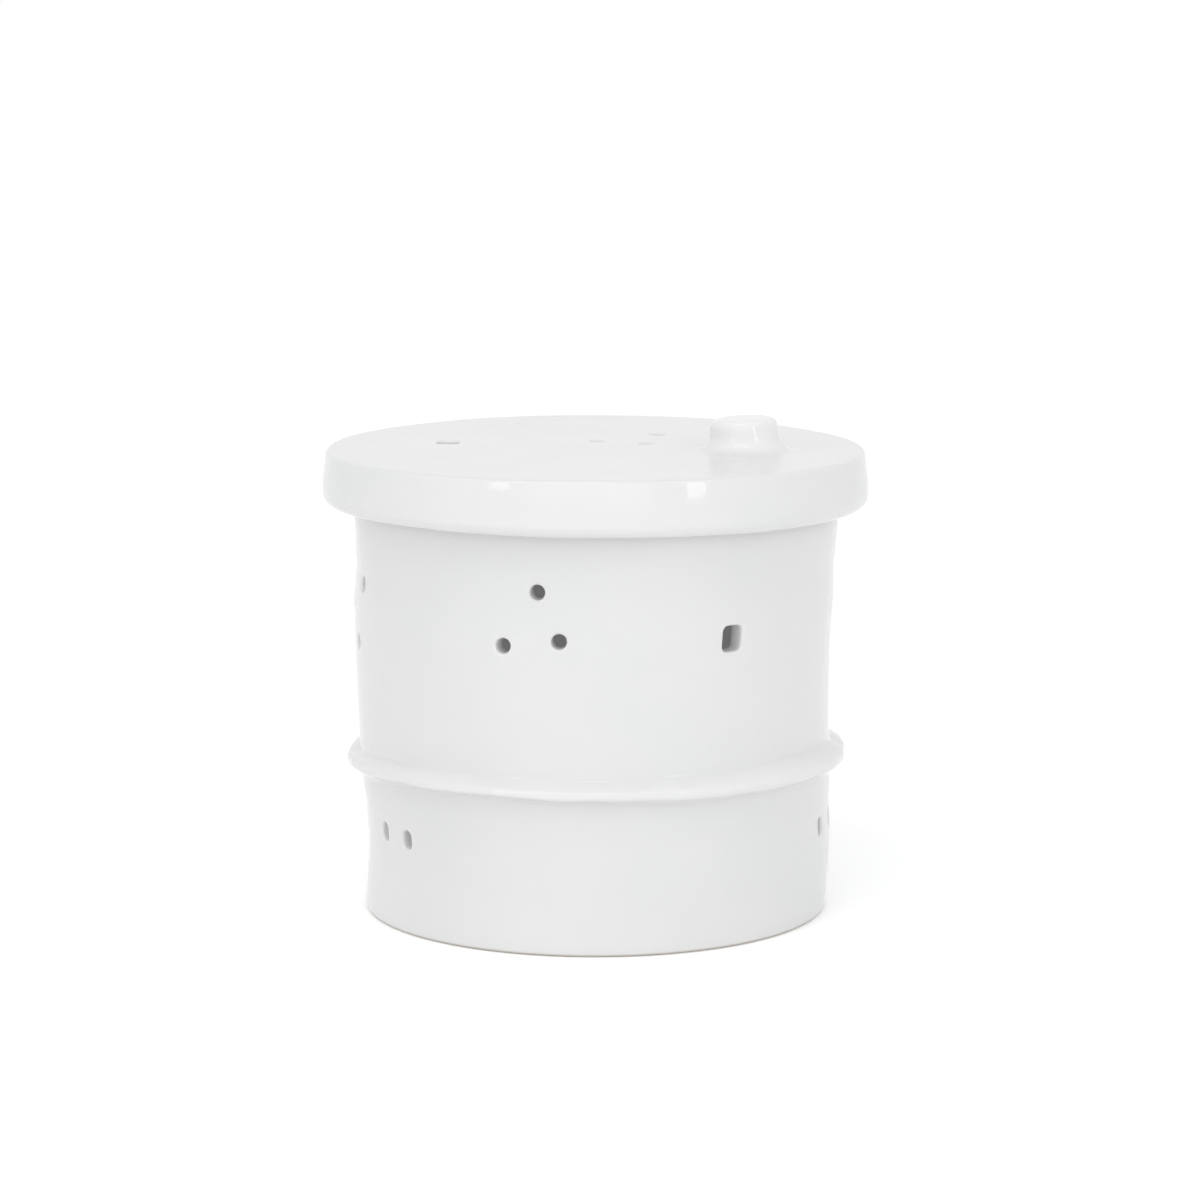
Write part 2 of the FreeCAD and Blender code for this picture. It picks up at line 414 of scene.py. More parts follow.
def disc(skin, ring, radius, level, left_out=()):
    """A grid of square cells that fills a ring of the skin, and its nodes.

    left_out holds the cells (row, column) that a vent or the knob takes.
    """
    spread = disc_spread()
    nodes = {}
    for row in range(SIDE + 1):
        for column in range(SIDE + 1):
            edge = disc_edge(row, column)
            if edge is None:
                across = spread[column] * math.sqrt(1 - spread[row] ** 2 / 2) * radius
                along = spread[row] * math.sqrt(1 - spread[column] ** 2 / 2) * radius
                nodes[row, column] = skin.add((across, along, level))
            else:
                # Columns start at a turn of 45 degrees, the grid's corner to the front right
                nodes[row, column] = ring[edge % COLUMNS]
    for row in range(SIDE):
        for column in range(SIDE):
            if (row, column) in left_out:
                continue
            skin.faces.append(
                (
                    nodes[row, column],
                    nodes[row, column + 1],
                    nodes[row + 1, column + 1],
                    nodes[row + 1, column],
                )
            )
    return nodes


def block_border(low_row, high_row, low_column, high_column):
    """Grid nodes round a block of cells, from its low left corner to the right and up."""
    border = [(low_row, column) for column in range(low_column, high_column)]
    border += [(row, high_column) for row in range(low_row, high_row)]
    border += [(high_row, column) for column in range(high_column, low_column, -1)]
    border += [(row, low_column) for row in range(high_row, low_row, -1)]
    return border


def block_cells(low_row, high_row, low_column, high_column):
    """Cells of a block."""
    return {
        (row, column)
        for row in range(low_row, high_row)
        for column in range(low_column, high_column)
    }


def outline_reach(vent, angle, grow):
    """Distance from a vent's middle to its outline, grown by a length, at an angle."""
    width, height, corner = vent
    half_width = width / 2 + grow
    half_height = height / 2 + grow
    rounding = corner + grow
    across = abs(math.cos(angle))
    along = abs(math.sin(angle))
    flat_width = half_width - rounding
    flat_height = half_height - rounding
    if half_width * along <= flat_height * across:
        return half_width / across
    if half_height * across <= flat_width * along:
        return half_height / along
    to_corner = across * flat_width + along * flat_height
    spare = flat_width**2 + flat_height**2 - rounding**2
    return to_corner + math.sqrt(max(0.0, to_corner**2 - spare))


def offsets_from(skin, vertices, centre):
    """Offsets of vertices to the right of and behind a centre."""
    return [
        (skin.places[vertex][0] - centre[0], skin.places[vertex][1] - centre[1])
        for vertex in vertices
    ]


def angles_of(offsets):
    """Angles of offsets round their centre."""
    return [math.atan2(along, across) for across, along in offsets]


def drawn_in(offset, angle, reach, share):
    """An offset moved by a share of the way to the point at an angle and a reach."""
    across, along = offset
    return (
        across + share * (reach * math.cos(angle) - across),
        along + share * (reach * math.sin(angle) - along),
    )


def vent_mouth(skin, border, offsets, angles, vent, lip, place):
    """Fill a block in to a vent's soft mouth and return the ring where its bore starts.

    border holds the block's vertices and offsets their places from the vent's middle.
    place turns an offset and a depth below the surface into a point.
    """
    wide = [outline_reach(vent, angle, lip) for angle in angles]
    ring = border
    for step in range(1, PATCH_RINGS + 1):
        share = 1 - (1 - step / PATCH_RINGS) ** PATCH_EASE
        following = []
        for offset, angle, reach in zip(offsets, angles, wide):
            spot = place(*drawn_in(offset, angle, reach, share), 0.0)
            following.append(skin.add(spot, thin=MOUTH_THIN * share**3))
        skin.bridge(ring, following)
        ring = following
    for step in range(1, LIP_STEPS + 1):
        bend = math.pi / 2 * step / LIP_STEPS
        grow = lip * (1 - math.sin(bend))
        depth = lip * (1 - math.cos(bend))
        following = []
        for angle in angles:
            reach = outline_reach(vent, angle, grow)
            spot = place(reach * math.cos(angle), reach * math.sin(angle), depth)
            thin = MOUTH_THIN + (1 - MOUTH_THIN) * math.sin(2 * bend)
            following.append(skin.add(spot, thin=thin))
        skin.bridge(ring, following)
        ring = following
    return ring


def join_bore(skin, outer, inner):
    """Straight bore between the two mouths of a vent."""
    ring = outer
    for step in range(1, BORE_STEPS):
        share = step / BORE_STEPS
        following = []
        for start, end in zip(outer, inner):
            place = np.array(skin.places[start]) * (1 - share) + np.array(skin.places[end]) * share
            following.append(skin.add(tuple(place), hidden=share))
        skin.bridge(ring, following)
        ring = following
    skin.bridge(ring, inner)


def finish_mesh(name, skin, warp, body, node, material):
    """Make the Blender object of a skin and give it its body, node, slot and material."""
    places = warp(np.array(skin.places)) * MM
    mesh = bpy.data.meshes.new(name)
    mesh.from_pydata(places.tolist(), [], skin.faces)
    marks = {"thin": skin.thin, "bare": skin.bare, "hidden": skin.hidden, "thick": skin.thick}
    for mark, values in marks.items():
        layer = mesh.attributes.new(mark, "FLOAT", "POINT")
        layer.data.foreach_set("value", values)
    mesh.shade_smooth()
    piece = bpy.data.objects.new(name, mesh)
    bpy.context.scene.collection.objects.link(piece)
    mesh.materials.append(material)
    turn_faces_out(mesh)
    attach(piece, body)
    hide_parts(node)


def turn_faces_out(mesh):
    """Make all faces of a closed mesh point outwards."""
    work = bmesh.new()
    work.from_mesh(mesh)
    bmesh.ops.recalc_face_normals(work, faces=work.faces)
    work.to_mesh(mesh)
    work.free()


# Wall vents as (turn in degrees from the front to the right, height, outline)
TRIANGLE = ((0.8, 8.4), (-7.3, -5.3), (6.7, -3.7))
TRIANGLES = ((-14.1, 83.7, 0), (-78.1, 80.1, -164), (113.0, 82.0, 75), (-141.0, 82.5, 150))
SQUARES = ((33.9, 79.1), (160.0, 80.5))
PAIR_HEIGHT = 24.4
PAIR_SPACING = 11.6
PAIRS = (-59.4, 76.7, 187.0)
LID_VENTS = (
    (0.4, 13.5, ROUND_VENT),
    (13.1, 8.8, ROUND_VENT),
    (16.4, 27.5, ROUND_VENT),
    (-38.4, 11.0, SQUARE_VENT),
)


def wall_vents():
    """All vents of the pot's wall as (turn in degrees, height, outline)."""
    vents = []
    for turn, height, tilt in TRIANGLES:
        tilt = math.radians(tilt)
        for sideways, upward in TRIANGLE:
            across = sideways * math.cos(tilt) - upward * math.sin(tilt)
            along = sideways * math.sin(tilt) + upward * math.cos(tilt)
            vents.append((turn + math.degrees(across / WAIST_RADIUS), height + along, ROUND_VENT))
    vents += [(turn, height, SQUARE_VENT) for turn, height in SQUARES]
    swing = math.degrees(PAIR_SPACING / 2 / POT_RADIUS)
    for turn in PAIRS:
        vents += [(turn - swing, PAIR_HEIGHT, SMALL_VENT), (turn + swing, PAIR_HEIGHT, SMALL_VENT)]
    return vents


def outer_wall(height):
    """Radius of the wall's outer face at a height, with the bead left out."""
    if height < BEAD_CREST:
        return POT_RADIUS
    share = (height - BEAD_HIGH) / (RIM_HEIGHT - BEAD_HIGH)
    return WAIST_RADIUS + share * (RIM_RADIUS - WAIST_RADIUS)


def inner_wall(height):
    """Radius of the wall's inner face at a height."""
    share = (height - FLOOR_TOP) / (RIM_HEIGHT - FLOOR_TOP)
    return POT_RADIUS - POT_WALL + share * (RIM_RADIUS - POT_RADIUS)


def wall_place(vent_turn, vent_height, radius_at, inward):
    """A function from an offset and a depth at a vent to a point of the wall."""

    def place(across, along, depth):
        height = vent_height + along
        radius = radius_at(height) + inward * depth
        turn = vent_turn + across / radius_at(vent_height)
        return (radius * math.sin(turn), -radius * math.cos(turn), height)

    return place


def nearest_row(levels, height):
    """Index of the level nearest to a height."""
    return min(levels, key=lambda index: abs(levels[index] - height))


def pot_paths():
    """The pot's profile, up the outside from the underside and down the inside."""
    ring_inner = POT_RADIUS - FOOT_RING_WIDTH
    seat = RIM_RADIUS - POT_WALL / 2
    crest = POT_RADIUS + BEAD_STAND_OFF
    half_crest = BEAD_CREST_WIDTH / 2
    outside = rounded_path(
        [
            (FLOOR_DISC, FOOT_RECESS, 0, 0),
            (ring_inner - FOOT_RECESS, FOOT_RECESS, FOOT_ROUNDING, 3),
            (ring_inner, 0.0, FOOT_ROUNDING, 4),
            (POT_RADIUS, 0.0, FOOT_ROUNDING, 5),
            (POT_RADIUS, BEAD_LOW, BEAD_FILLET, 5),
            (crest + BEAD_LOWER_CORNER, BEAD_CREST - half_crest, BEAD_LOWER_ROUNDING, 6),
            (crest + BEAD_UPPER_CORNER, BEAD_CREST + half_crest, BEAD_UPPER_ROUNDING, 6),
            (WAIST_RADIUS, BEAD_HIGH, BEAD_FILLET, 5),
            (RIM_RADIUS, RIM_HEIGHT, RIM_ROUNDING, 5),
            (seat, RIM_HEIGHT, 0, 0),
        ]
    )
    inside = rounded_path(
        [
            (seat, RIM_HEIGHT, 0, 0),
            (RIM_RADIUS - POT_WALL, RIM_HEIGHT, RIM_ROUNDING, 5),
            (POT_RADIUS - POT_WALL, FLOOR_TOP, FLOOR_FILLET, 10),
            (FLOOR_DISC, FLOOR_TOP, 0, 0),
        ]
    )
    return outside, inside


def pot_ring(skin, radius, height, inside):
    """One ring of the pot, with its marks for bare clay, hidden faces and painted light on the
    bead.
    """
    # Bare clay at the foot, partly real and partly painted contact shade; bare at the rim where
    # the lid sits
    bare = height < FOOT_CLAY_AND_SHADE_HEIGHT or height > RIM_HEIGHT - BARE_RIM_DEPTH
    on_bead = height < BEAD_HIGH and not inside
    # Painted light: the bead's outer part gets a whiter colour that stands in for the light on it
    thick = BEAD_PAINTED_LIGHT * min(1.0, max(0.0, radius - POT_RADIUS - BEAD_PAINTED_LIGHT_START)) * on_bead
    return skin.ring(radius, height, float(bare), float(inside), thick)


def wall_block(levels, low_column, high_column, low, high):
    """Rows and columns of the wall's grid between two heights, and the places round them."""
    first = nearest_row(levels, low)
    last = nearest_row(levels, high)
    step = 1 if last > first else -1
    columns = list(range(low_column, high_column + 1))
    rows = list(range(first, last + step, step))
    border = [(rows[0], column) for column in columns[:-1]]
    border += [(row, columns[-1]) for row in rows[:-1]]
    border += [(rows[-1], column) for column in reversed(columns[1:])]
    border += [(row, columns[0]) for row in reversed(rows[1:])]
    return rows, columns, border


def cut_wall_vent(skin, path, rings, faces, left_out, spot):
    """Make one vent through the wall, and note the cells that it takes in left_out."""
    degrees, height, vent = spot
    turn = math.radians(degrees)
    half_width = vent[0] / 2 + VENT_MARGIN
    half_height = vent[1] / 2 + VENT_MARGIN
    pitch = math.tau / COLUMNS
    start = turn - math.radians(45.0)
    low_column = round((start - half_width / WAIST_RADIUS) / pitch)
    high_column = round((start + half_width / WAIST_RADIUS) / pitch)
    angles = None
    mouths = []
    for radius_at, inward, lip, levels in faces:
        rows, columns, border = wall_block(
            levels, low_column, high_column, height - half_height, height + half_height
        )
        radius = radius_at(height)
        offsets = [
            ((column_turn(column) - turn) * radius, path[row][1] - height)
            for row, column in border
        ]
        if angles is None:
            angles = angles_of(offsets)
        vertices = [rings[row][column % COLUMNS] for row, column in border]
        place = wall_place(turn, height, radius_at, inward)
        mouths.append(vent_mouth(skin, vertices, offsets, angles, vent, lip, place))
        for row in range(min(rows), max(rows)):
            for column in columns[:-1]:
                left_out.setdefault(row, set()).add(column % COLUMNS)
    join_bore(skin, *mouths)


def pot_skin():
    """The pot's closed skin with all its vents."""
    skin = Skin()
    outside, inside = pot_paths()
    path = outside + inside[1:]
    turn_over = len(outside) - 1
    rings = [
        pot_ring(skin, radius, height, index > turn_over)
        for index, (radius, height) in enumerate(path)
    ]
    ring_inner = POT_RADIUS - FOOT_RING_WIDTH
    outer_levels = {i: path[i][1] for i in range(turn_over) if path[i][0] > ring_inner}
    inner_levels = {i: path[i][1] for i in range(turn_over + 1, len(path))}
    faces = (
        (outer_wall, -1, OUTER_LIP, outer_levels),
        (inner_wall, 1, INNER_LIP, inner_levels),
    )
    left_out = {}
    for spot in wall_vents():
        cut_wall_vent(skin, path, rings, faces, left_out, spot)
    for row in range(len(rings) - 1):
        skin.bridge(rings[row], rings[row + 1], left_out.get(row, ()))
    disc(skin, rings[0], FLOOR_DISC, FOOT_RECESS)
    disc(skin, rings[-1], FLOOR_DISC, FLOOR_TOP)
    return skin


def disc_block(centre, half_width, half_height, radius):
    """Rows and columns of the disc's grid that hold a block round a centre."""
    spread = disc_spread()

    def nearest(target, other):
        fixed = min(spread, key=lambda value: abs(value * radius - other))
        scale = radius * math.sqrt(1 - fixed**2 / 2)
        return min(range(SIDE + 1), key=lambda step: abs(spread[step] * scale - target))

    across, along = centre
    low_row = nearest(along - half_height, across)
    high_row = nearest(along + half_height, across)
    low_column = nearest(across - half_width, along)
    high_column = nearest(across + half_width, along)
    return low_row, high_row, low_column, high_column


def lid_path():
    """The lid's profile, from its top down the skirt and up to its ceiling."""
    top = RIM_HEIGHT + LID_TOP
    inner = RIM_RADIUS + LID_CLEARANCE
    return rounded_path(
        [
            (LID_DISC, top, 0, 0),
            (LID_RADIUS - LID_TAPER, top, LID_TOP_ROUNDING, 6),
            (LID_RADIUS, top - LID_SHOULDER, LID_SHOULDER_ROUNDING, 4),
            (LID_RADIUS, SKIRT_BOTTOM, SKIRT_OUTER_ROUNDING, 9),
            (inner, SKIRT_BOTTOM, SKIRT_INNER_ROUNDING, 4),
            (inner, RIM_HEIGHT, LID_CEILING_FILLET, 4),
            (LID_DISC, RIM_HEIGHT, 0, 0),
        ]
    )


def lid_place(centre, level, inward):
    """A function from an offset and a depth at a vent to a point of the lid."""

    def place(across, along, depth):
        return (centre[0] + across, centre[1] + along, level + inward * depth)

    return place


def cut_lid_vent(skin, faces, centre, vent, border):
    """Make one vent through the lid's top, inside a border of grid nodes on both its faces."""
    angles = None
    mouths = []
    for nodes, level, inward, lip in faces:
        vertices = [nodes[node] for node in border]
        offsets = offsets_from(skin, vertices, centre)
        if angles is None:
            angles = angles_of(offsets)
        place = lid_place(centre, level, inward)
        mouths.append(vent_mouth(skin, vertices, offsets, angles, vent, lip, place))
    join_bore(skin, *mouths)


def lid_skin():
    """The lid's closed skin with its knob and vents."""
    skin = Skin()
    top = RIM_HEIGHT + LID_TOP
    rings = [
        skin.ring(radius, height, bare=float(height == RIM_HEIGHT))
        for radius, height in lid_path()
    ]
    for first, second in zip(rings, rings[1:]):
        skin.bridge(first, second)
    knob_half = KNOB_BASE_RADIUS + KNOB_FLARE + VENT_MARGIN
    knob_block = disc_block(KNOB_PLACE, knob_half, knob_half, LID_DISC)
    vent_blocks = []
    for across, along, vent in LID_VENTS:
        half_width = vent[0] / 2 + VENT_MARGIN
        half_height = vent[1] / 2 + VENT_MARGIN
        vent_blocks.append(disc_block((across, along), half_width, half_height, LID_DISC))
    cells = set()
    for block in vent_blocks:
        cells |= block_cells(*block)
    top_nodes = disc(skin, rings[0], LID_DISC, top, cells | block_cells(*knob_block))
    ceiling_nodes = disc(skin, rings[-1], LID_DISC, RIM_HEIGHT, cells)
    faces = (
        (top_nodes, top, -1, OUTER_LIP),
        (ceiling_nodes, RIM_HEIGHT, 1, INNER_LIP),
    )
    for (across, along, vent), block in zip(LID_VENTS, vent_blocks):
        cut_lid_vent(skin, faces, (across, along), vent, block_border(*block))
    add_knob(skin, [top_nodes[node] for node in block_border(*knob_block)], top)
    return skin


def add_knob(skin, border, top):
    """The knob that rises out of the lid's top, from the border of its block."""
    right, back = KNOB_PLACE
    offsets = offsets_from(skin, border, KNOB_PLACE)
    angles = angles_of(offsets)
    foot = KNOB_BASE_RADIUS + KNOB_FLARE
    knob_height = KNOB_TOP - top
    path = rounded_path(
        [
            (foot, 0.0, 0, 0),
            (KNOB_BASE_RADIUS, 0.0, KNOB_FILLET, 8),
            (KNOB_TOP_RADIUS, knob_height, KNOB_TOP_ROUNDING, 7),
            (KNOB_TIP_RADIUS, knob_height, 0, 0),
        ]
    )
    ring = border
    for step in range(1, PATCH_RINGS + 1):
        share = step / PATCH_RINGS
        following = []
        for offset, angle in zip(offsets, angles):
            across, along = drawn_in(offset, angle, foot, share)
            following.append(skin.add((right + across, back + along, top)))
        skin.bridge(ring, following)
        ring = following
    for radius, height in path[1:]:
        following = []
        for angle in angles:
            spot = (
                right + radius * math.cos(angle),
                back + radius * math.sin(angle),
                top + height,
            )
            # Painted light: the knob gets a whiter colour up from its foot that stands in for the
            # light on it
            following.append(skin.add(spot, thick=min(1.0, height / KNOB_PAINTED_LIGHT_RUN)))
        skin.bridge(ring, following)
        ring = following
    skin.fan(ring, skin.add((right, back, top + knob_height), thick=1.0))


def smooth_round(turns, values, turn):
    """Value at a turn from a closed table by degrees, with its corners softened."""
    grid = np.arange(0.0, 360.0, TABLE_STEP)
    table = np.interp(grid, np.array(turns) % 360, values, period=360)
    soft = np.array(TABLE_SOFTENING) / sum(TABLE_SOFTENING)
    table = np.convolve(np.concatenate((table[-2:], table, table[:2])), soft, "valid")
    return np.interp(np.degrees(turn) % 360, grid, table, period=360)


def waves(turn, parts, total=0.0):
    """Waves round the axis, each given as (amount, count, phase), added to a total."""
    for amount, count, phase in parts:
        total = total + amount * np.sin(count * turn + phase)
    return total


def lean(across, along):
    """Height that the lid and the rim gain or lose at a place right of and behind the axis."""
    right = across / LID_RADIUS
    back = along / LID_RADIUS
    rise = LEAN_BACK[0] * back + LEAN_BACK[1] * back**2
    return rise + LEAN_RIGHT[0] * right + LEAN_RIGHT[1] * right**2


def form_bead(radius, height, turn):
    """Move the outer wall's rings at the bead to the bead's form at each turn."""
    turns, lows, crests, highs, offs = zip(*BEAD_FORMS)
    outer = radius > POT_RADIUS - 1
    fine = waves(turn, BEAD_EDGE_WAVES)
    still = np.zeros_like(height)
    levels = (BEAD_REACH[0], BEAD_LOW, BEAD_CREST, BEAD_HIGH, BEAD_REACH[1])
    shifts = (
        still,
        smooth_round(turns, lows, turn) - BEAD_LOW + fine,
        smooth_round(turns, crests, turn) - BEAD_CREST + 0.5 * fine,
        smooth_round(turns, highs, turn) - BEAD_HIGH - fine,
        still,
    )
    moved = np.zeros_like(height)
    for low, high, first, last in zip(levels, levels[1:], shifts, shifts[1:]):
        inside = outer & (height >= low) & (height < high)
        share = (height - low) / (high - low)
        moved[inside] = (first + share * (last - first))[inside]
    stand_off = radius - POT_RADIUS
    near = outer & (height > BEAD_LOW) & (height < BEAD_HIGH)
    grown = smooth_round(turns, offs, turn) / BEAD_STAND_OFF
    lumps = BEAD_LUMPS * np.sin(17 * turn + 1.3) * np.sin(7 * turn)
    lumps = lumps + BEAD_FINE_LUMPS * np.sin(41 * turn)
    crest = np.clip(stand_off - 1, 0, 3) / 2.5
    radius = np.where(near, POT_RADIUS + stand_off * grown + crest * lumps, radius)
    return radius, height + moved


def pot_warp(places):
    """Small hand-made unevenness of the pot: a swaying wall and a wavy bead."""
    across, along, height = places.T
    turn = np.arctan2(across, -along)
    radius = np.hypot(across, along)
    sway = np.interp(height, *zip(*SWAY))
    swell = np.interp(height, *zip(*SWELL))
    middle = np.sin(np.pi * np.clip(height / RIM_HEIGHT, 0, 1))
    uneven = OVAL * np.sin(2 * turn + 0.7) + LOBES * np.sin(3 * turn + height / LOBE_TWIST)
    share = radius / POT_RADIUS
    radius, height = form_bead(radius, height, turn)
    radius = radius + (middle * uneven + swell) * share
    raised = np.clip((height - LEAN_START) / LEAN_RUN, 0, 1)
    height = height + raised * lean(across, along)
    return np.column_stack((radius * np.sin(turn) + sway, -radius * np.cos(turn), height))


def knob_warp(places):
    """A slightly leaning, dented knob."""
    across, along, height = places.T
    right = across - KNOB_PLACE[0]
    back = along - KNOB_PLACE[1]
    near = np.hypot(right, back) < KNOB_BASE_RADIUS + KNOB_FLARE
    share = np.clip((height - RIM_HEIGHT - LID_TOP) / (KNOB_TOP - RIM_HEIGHT - LID_TOP), 0, 1)
    share = share * near
    dent_right = (right - DENT_PLACE[0]) / DENT_REACH[0]
    dent_back = (back - DENT_PLACE[1]) / DENT_REACH[1]
    dent = np.exp(-(dent_right**2) - dent_back**2)
    dent = dent * np.exp(-(((share - DENT_RISE) / DENT_RISE_REACH) ** 2)) * share
    lump = KNOB_LUMP * np.sin(2 * np.arctan2(back, right) + 0.6)
    across = across - KNOB_LEAN * share - DENT_DEPTH[0] * dent + 0.1 * lump * share * right
    along = along + DENT_DEPTH[1] * dent
    tilt = KNOB_TILT * (right - 6) - KNOB_DROOP * right**2 * (right < 0)
    height = height + share * tilt
    return across, along, height


def lid_warp(places):
    """Small hand-made unevenness of the lid: a soft leaning top and an uneven skirt."""
    across, along, height = places.T
    turn = np.arctan2(across, -along)
    radius = np.hypot(across, along)
    upper = np.clip((height - RIM_HEIGHT - 2.5) / 2.5, 0, 1)
    lower = np.clip((RIM_HEIGHT - height) / (RIM_HEIGHT - SKIRT_BOTTOM), 0, 1)
    uneven = waves(turn, LID_EDGE_WAVES, LID_EDGE_GROWTH)
    grown = uneven * np.clip((radius - LID_DISC) / 8, 0, 1)
    hem = HEM_RAISE + HEM_FRONT * np.cos(turn) - HEM_LEFT * np.sin(turn)
    hem = hem + HEM_FRONT_BACK * np.cos(2 * turn)
    hem = waves(turn, HEM_WAVES, hem)
    swell = LID_TOP_SWELL * np.sin(across / 11 + 1) * np.sin(along / 14) - LID_TOP_DROP
    raised = lean(across, along) * (1 - lower) + hem * lower + upper * swell
    across, along, height = knob_warp(places)
    spread = 1 + grown / np.maximum(radius, 1.0)
    return np.column_stack((across * spread, along * spread, height + raised))


class Shading:
    """The nodes and links of one material, with short ways to add the usual nodes."""

    def __init__(self, material):
        self.nodes = material.node_tree.nodes
        self.links = material.node_tree.links
        self.where = self.nodes.new("ShaderNodeTexCoord")

    def noise(self, scale, detail):
        """Noise over the object's space."""
        node = self.nodes.new("ShaderNodeTexNoise")
        node.inputs["Scale"].default_value = scale
        node.inputs["Detail"].default_value = detail
        self.links.new(self.where.outputs["Object"], node.inputs["Vector"])
        return node.outputs["Fac"]

    def blend(self, factor, first, second):
        """Mix of two colours, each a tuple or a socket."""
        node = self.nodes.new("ShaderNodeMix")
        node.data_type = "RGBA"
        self.links.new(factor, node.inputs["Factor"])
        for value, socket in ((first, node.inputs["A"]), (second, node.inputs["B"])):
            if isinstance(value, tuple):
                socket.default_value = (*value, 1.0)
            else:
                self.links.new(value, socket)
        return node.outputs["Result"]

    def spread(self, value, low, high, to_low, to_high):
        """A value's range from low to high, spread over another range."""
        node = self.nodes.new("ShaderNodeMapRange")
        node.inputs["From Min"].default_value = low
        node.inputs["From Max"].default_value = high
        node.inputs["To Min"].default_value = to_low
        node.inputs["To Max"].default_value = to_high
        self.links.new(value, node.inputs["Value"])
        return node.outputs["Result"]

    def mark(self, attribute):
        """One of the skin's glaze marks."""
        node = self.nodes.new("ShaderNodeAttribute")
        node.attribute_name = attribute
        return node.outputs["Fac"]

    def bump(self, scale, detail, strength, depth):
        """A bump node over noise."""
        node = self.nodes.new("ShaderNodeBump")
        node.inputs["Strength"].default_value = strength
        node.inputs["Distance"].default_value = depth
        self.links.new(self.noise(scale, detail), node.inputs["Height"])
        return node


def glaze_colour(shading, tint, bare):
    """Cloudy glaze, grey where it is thin, with a whiter colour painted on the bead and the knob
    for light, and bare clay.
    """
    pale, deep, edge, white, clay = tint
    cloud = shading.spread(shading.noise(*CLOUD_NOISE), *CLOUD_RANGE, 0.0, 1.0)
    colour = shading.blend(cloud, pale, deep)
    thin = shading.spread(shading.mark("thin"), *THIN_RANGE, 0.0, THIN_GLAZE_SHOWS)
    colour = shading.blend(thin, colour, edge)
    # Painted light: whiter colour where the thick mark is set
    colour = shading.blend(shading.mark("thick"), colour, white)
    return shading.blend(bare, colour, clay)


def glaze_roughness(shading, bare):
    """Glossy glaze, duller where it lay level in the kiln, and rough bare clay."""
    facing = shading.nodes.new("ShaderNodeSeparateXYZ")
    shading.links.new(shading.where.outputs["Normal"], facing.inputs["Vector"])
    level = shading.spread(facing.outputs["Z"], *LEVEL_RANGE, 0.0, LEVEL_DULLNESS)
    shiny = shading.spread(shading.noise(*GLOSS_NOISE), *GLOSS_RANGE, *GLOSS_ROUGHNESS)
    total = shading.nodes.new("ShaderNodeMath")
    shading.links.new(shiny, total.inputs[0])
    shading.links.new(level, total.inputs[1])
    rough = shading.nodes.new("ShaderNodeMix")
    shading.links.new(bare, rough.inputs["Factor"])
    shading.links.new(total.outputs["Value"], rough.inputs["A"])
    rough.inputs["B"].default_value = CLAY_ROUGHNESS
    return rough.outputs["Result"]


def glaze_material(name, tint):
    """Glossy white glaze over white clay, with bare clay where the kiln shelf touched, which at
    the foot also paints the contact shade, painted light on the bead and the knob, and a painted
    glow on hidden faces.
    """
    material = bpy.data.materials.new(name)
    material.use_nodes = True
    shading = Shading(material)
    shader = shading.nodes["Principled BSDF"]
    shader.inputs["IOR"].default_value = GLAZE_IOR
    bare = shading.mark("bare")
    shading.links.new(glaze_colour(shading, tint, bare), shader.inputs["Base Color"])
    shading.links.new(glaze_roughness(shading, bare), shader.inputs["Roughness"])

    # Painted glow: the hidden inside faces and vent bores give off a little white light, so that
    # the inside of the closed pot does not go black
    shader.inputs["Emission Color"].default_value = WHITE
    painted_glow = shading.spread(shading.mark("hidden"), 0.0, 1.0, 0.0, PAINTED_INSIDE_GLOW)
    shading.links.new(painted_glow, shader.inputs["Emission Strength"])

    # Slow ripples of the hand-formed wall, and on them the glaze's fine orange peel
    ripple = shading.bump(*RIPPLE)
    peel = shading.bump(*PEEL)
    shading.links.new(ripple.outputs["Normal"], peel.inputs["Normal"])
    shading.links.new(peel.outputs["Normal"], shader.inputs["Normal"])
    return material


def seen_directly(nodes, links):
    """A factor that is 1 for what the camera and clear reflections see."""
    path = nodes.new("ShaderNodeLightPath")
    total = path.outputs["Is Camera Ray"]
    for ray in ("Is Glossy Ray", "Is Transmission Ray"):
        add = nodes.new("ShaderNodeMath")
        add.operation = "MAXIMUM"
        links.new(total, add.inputs[0])
        links.new(path.outputs[ray], add.inputs[1])
        total = add.outputs["Value"]
    return total


def surround():
    """White surround that gives the diffuse surfaces a slightly dimmer, cooler light."""
    world = bpy.data.worlds.new("studio")
    bpy.context.scene.world = world
    world.use_nodes = True
    nodes = world.node_tree.nodes
    links = world.node_tree.links
    dim = nodes["Background"]
    dim.inputs["Color"].default_value = SURROUND_COLOUR
    dim.inputs["Strength"].default_value = SURROUND_STRENGTH
    white = nodes.new("ShaderNodeBackground")
    white.inputs["Color"].default_value = WHITE
    white.inputs["Strength"].default_value = 1.0
    mix = nodes.new("ShaderNodeMixShader")
    links.new(seen_directly(nodes, links), mix.inputs["Fac"])
    links.new(dim.outputs["Background"], mix.inputs[1])
    links.new(white.outputs["Background"], mix.inputs[2])
    links.new(mix.outputs["Shader"], nodes["World Output"].inputs["Surface"])


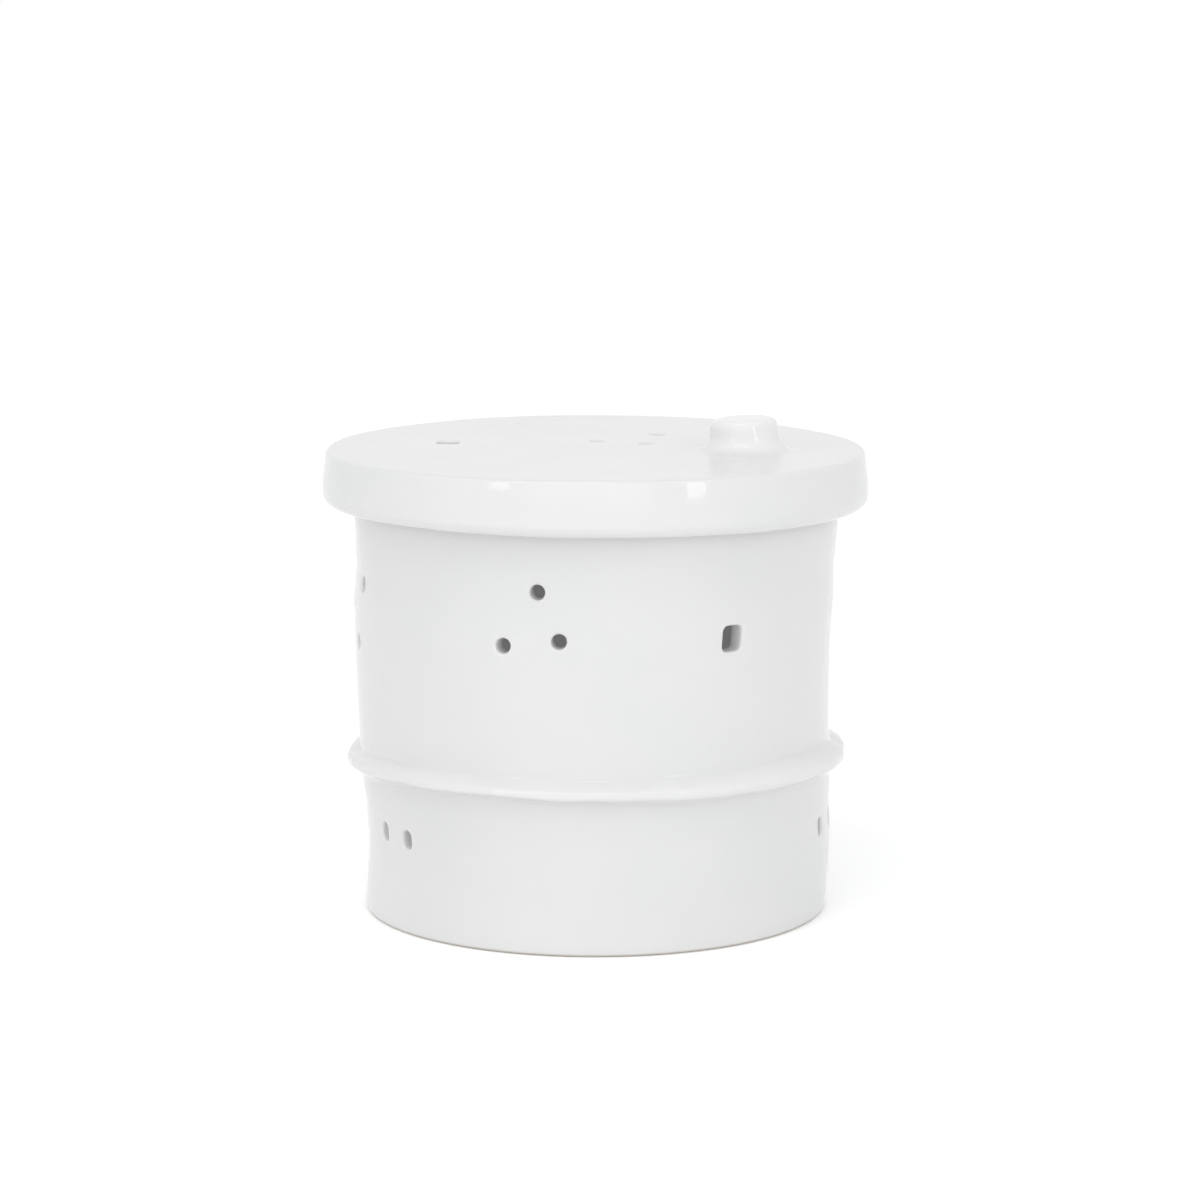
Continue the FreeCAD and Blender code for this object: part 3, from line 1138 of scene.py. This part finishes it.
def pale_floor():
    """Floor under the keeper, lifted a little to white where it is seen directly."""
    half = FLOOR_HALF
    mesh = bpy.data.meshes.new("studio_floor")
    corners = [(-half, -half, 0), (half, -half, 0), (half, half, 0), (-half, half, 0)]
    mesh.from_pydata(corners, [], [(0, 1, 2, 3)])
    floor = bpy.data.objects.new("studio_floor", mesh)
    bpy.context.scene.collection.objects.link(floor)
    material = bpy.data.materials.new("studio_floor")
    material.use_nodes = True
    nodes = material.node_tree.nodes
    links = material.node_tree.links
    shader = nodes["Principled BSDF"]
    shader.inputs["Base Color"].default_value = FLOOR_COLOUR
    shader.inputs["Roughness"].default_value = FLOOR_ROUGHNESS
    shader.inputs["Emission Color"].default_value = WHITE
    lift = nodes.new("ShaderNodeMath")
    lift.operation = "MULTIPLY"
    lift.inputs[1].default_value = FLOOR_LIFT
    links.new(seen_directly(nodes, links), lift.inputs[0])
    links.new(lift.outputs["Value"], shader.inputs["Emission Strength"])
    mesh.materials.append(material)


def soft_lamp(name, size, power):
    """A soft rectangular lamp."""
    light = bpy.data.lights.new(name, "AREA")
    light.shape = "RECTANGLE"
    light.size, light.size_y = size
    light.energy = power
    holder = bpy.data.objects.new(name, light)
    bpy.context.scene.collection.objects.link(holder)
    return holder


def lamps():
    """Three soft lamps in front, a high fill and the glow of the lit table before the keeper."""
    for name, turn, rise, distance, size, power in LAMPS:
        turn = math.radians(turn)
        rise = math.radians(rise)
        holder = soft_lamp(name, size, power)
        holder.location = (
            distance * math.cos(rise) * math.sin(turn),
            -distance * math.cos(rise) * math.cos(turn),
            LAMP_AIM_HEIGHT + distance * math.sin(rise),
        )
        holder.rotation_euler = (math.pi / 2 - rise, 0.0, turn)
    glow = soft_lamp("table_glow", GLOW_SIZE, GLOW_POWER)
    glow.location = GLOW_PLACE
    glow.rotation_euler = (math.pi, 0.0, 0.0)


def camera():
    """Camera at the photograph's viewing angle."""
    data = bpy.data.cameras.new("camera")
    data.sensor_width = CAMERA_SENSOR
    data.lens = CAMERA_LENS
    holder = bpy.data.objects.new("camera", data)
    holder.location = CAMERA_PLACE
    holder.rotation_euler = (math.radians(90 - CAMERA_PITCH), 0.0, 0.0)
    bpy.context.scene.collection.objects.link(holder)
    bpy.context.scene.camera = holder


camera()
surround()
pale_floor()
lamps()
pot_glaze = glaze_material("pot_glaze", POT_TINT)
lid_glaze = glaze_material("lid_glaze", LID_TINT)
finish_mesh("pot_body", pot_skin(), pot_warp, "pot", "pot", pot_glaze)
finish_mesh("cap_lid", lid_skin(), lid_warp, "lid", "lid", lid_glaze)

bpy.context.scene.view_settings.view_transform = "Standard"
